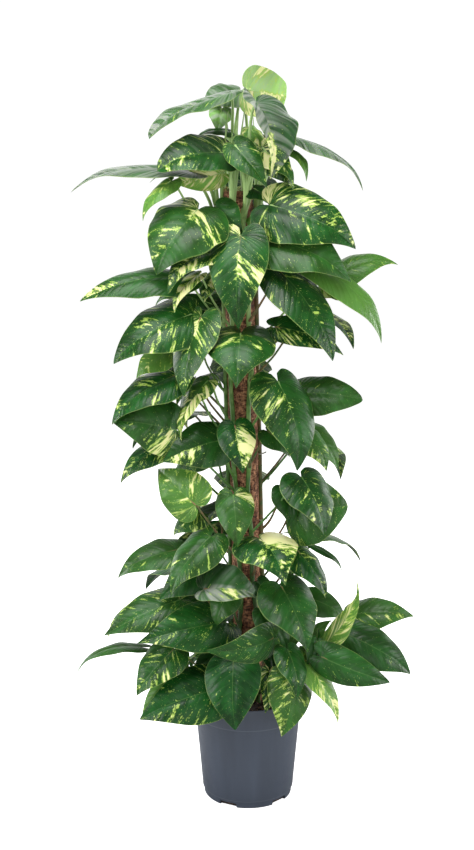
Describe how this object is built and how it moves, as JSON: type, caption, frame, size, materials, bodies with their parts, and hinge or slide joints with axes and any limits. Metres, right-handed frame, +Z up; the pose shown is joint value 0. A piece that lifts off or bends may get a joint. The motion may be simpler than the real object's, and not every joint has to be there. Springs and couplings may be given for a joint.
{
  "type": "golden pothos on a coir pole in a nursery pot",
  "caption": "Climbing house plant: heart-shaped variegated leaves on long petioles, on vines that climb a coir pole standing in a tapered round nursery pot of potting mix.",
  "frame": {"origin": "centre of the pot's underside, on the surface the pot stands on", "axes": "+Z up along the pot's axis; +X to the right and -Y towards the viewer of the plant's fuller side"},
  "size_m": [0.6723, 0.4207, 1.4228],
  "materials": {
    "pot": "satin",
    "soil": "rough",
    "pole_wood": "matte",
    "coir": "rough",
    "foliage": "satin",
    "tie": "satin"
  },
  "bodies": {
    "root": {"nursery_pot": "pot", "potting_soil": "soil", "pole_core": "pole_wood", "coir_sleeve": "coir", "vine_1": "foliage", "vine_2": "foliage", "vine_3": "foliage", "vine_4": "foliage", "vine_5": "foliage", "vine_6": "foliage", "stem_tie_1": "tie", "stem_tie_2": "tie"}
  },
  "joints": []
}
